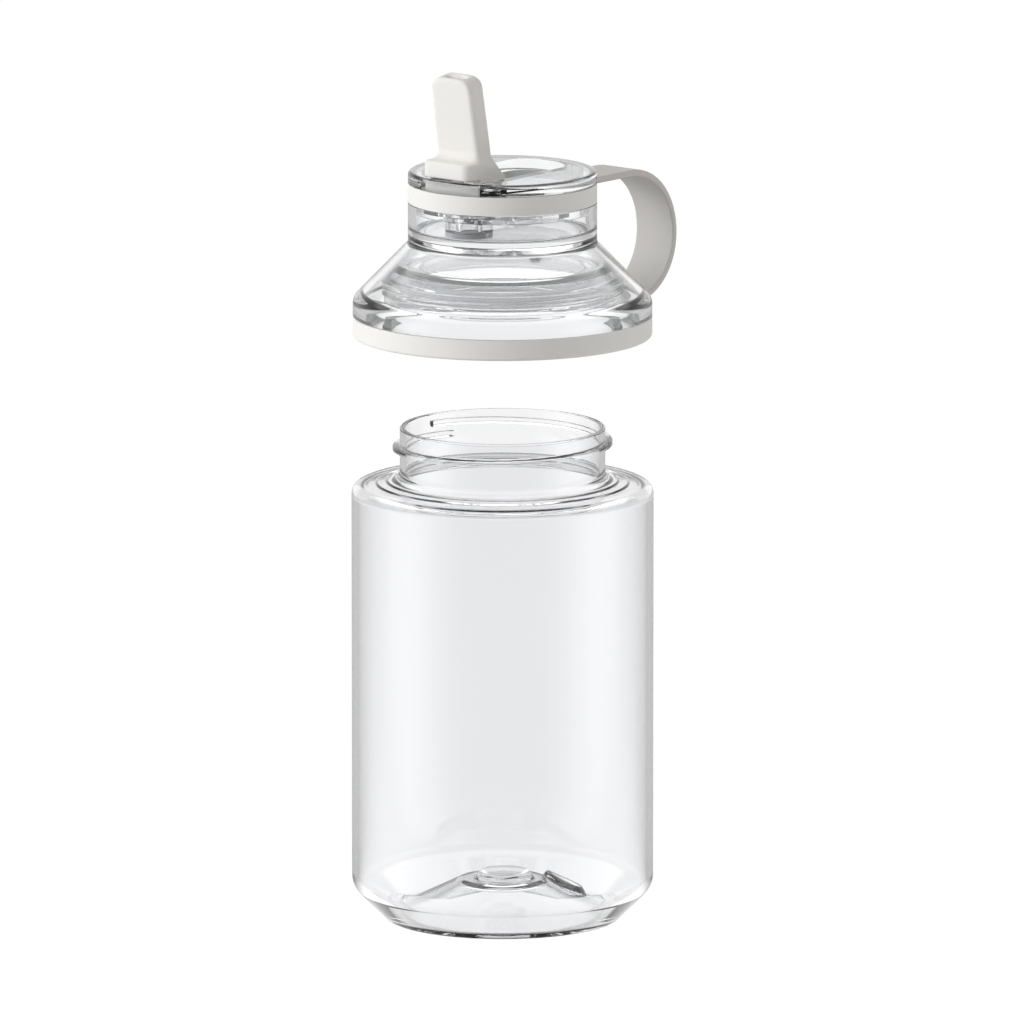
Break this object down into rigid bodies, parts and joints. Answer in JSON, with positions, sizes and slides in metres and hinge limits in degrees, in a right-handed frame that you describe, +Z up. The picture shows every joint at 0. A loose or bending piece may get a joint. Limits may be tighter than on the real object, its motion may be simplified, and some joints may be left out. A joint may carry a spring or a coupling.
{
  "type": "drinks bottle",
  "caption": "Clear drinks bottle with a lifted-off screw lid: cone and tower, flip-up spout folding into a trough, white rings and a carry loop.",
  "frame": {"origin": "centre of the bottle's foot, on the surface it stands on", "axes": "+Z up the bottle's axis, -Y towards the standing spout, +Y towards the carry loop"},
  "size_m": [0.08, 0.1048, 0.2291],
  "materials": {
    "clear_bottle": "clear, polished, blow-moulded",
    "clear_lid": "clear, polished, injection-moulded",
    "clear_core": "clear, polished, injection-moulded",
    "clear_deck": "clear, polished, injection-moulded",
    "white_strap": "white flexible elastomer, fine satin",
    "white_ring": "white, satin",
    "white_spout": "white, satin",
    "white_mouthpiece": "white silicone, soft satin",
    "seal_silicone": "milky silicone",
    "pin_steel": "turned"
  },
  "bodies": {
    "bottle": {"bottle": "clear_bottle"},
    "packing": {"lid_packing": "seal_silicone"},
    "plug_seal": {"plug_seal": "seal_silicone"},
    "lid": {"lid_shell": "clear_lid", "lid_core": "clear_core", "deck": "clear_deck", "carry_strap": "white_strap", "base_ring": "white_ring", "duct_seal": "seal_silicone", "spout_seal": "seal_silicone", "vent_valve": "seal_silicone", "hinge_pin_left": "pin_steel", "hinge_pin_right": "pin_steel"},
    "spout": {"spout_base": "white_spout", "mouthpiece": "white_mouthpiece"}
  },
  "joints": [
    {"name": "lid_lift", "type": "slide", "parent": "bottle", "child": "packing", "axis": [0, 0, 1], "range_m": [-0.0371, 0.15]},
    {"name": "thread_climb", "type": "slide", "parent": "packing", "child": "plug_seal", "axis": [0, 0, 1], "range_m": [-0.00241, 0.00001]},
    {"name": "lid_screw", "type": "hinge", "parent": "plug_seal", "child": "lid", "pos_m": [0, 0, 0.1567], "axis": [0, 0, 1], "range_deg": [-270, 0]},
    {"name": "spout_flip", "type": "hinge", "parent": "lid", "child": "spout", "pos_m": [0, -0.0135, 0.1989], "axis": [-1, 0, 0], "range_deg": [0, 108]}
  ],
  "couplings": [
    {"joint": "thread_climb", "follows": "lid_screw", "m_per_rad": 0.0005093}
  ]
}
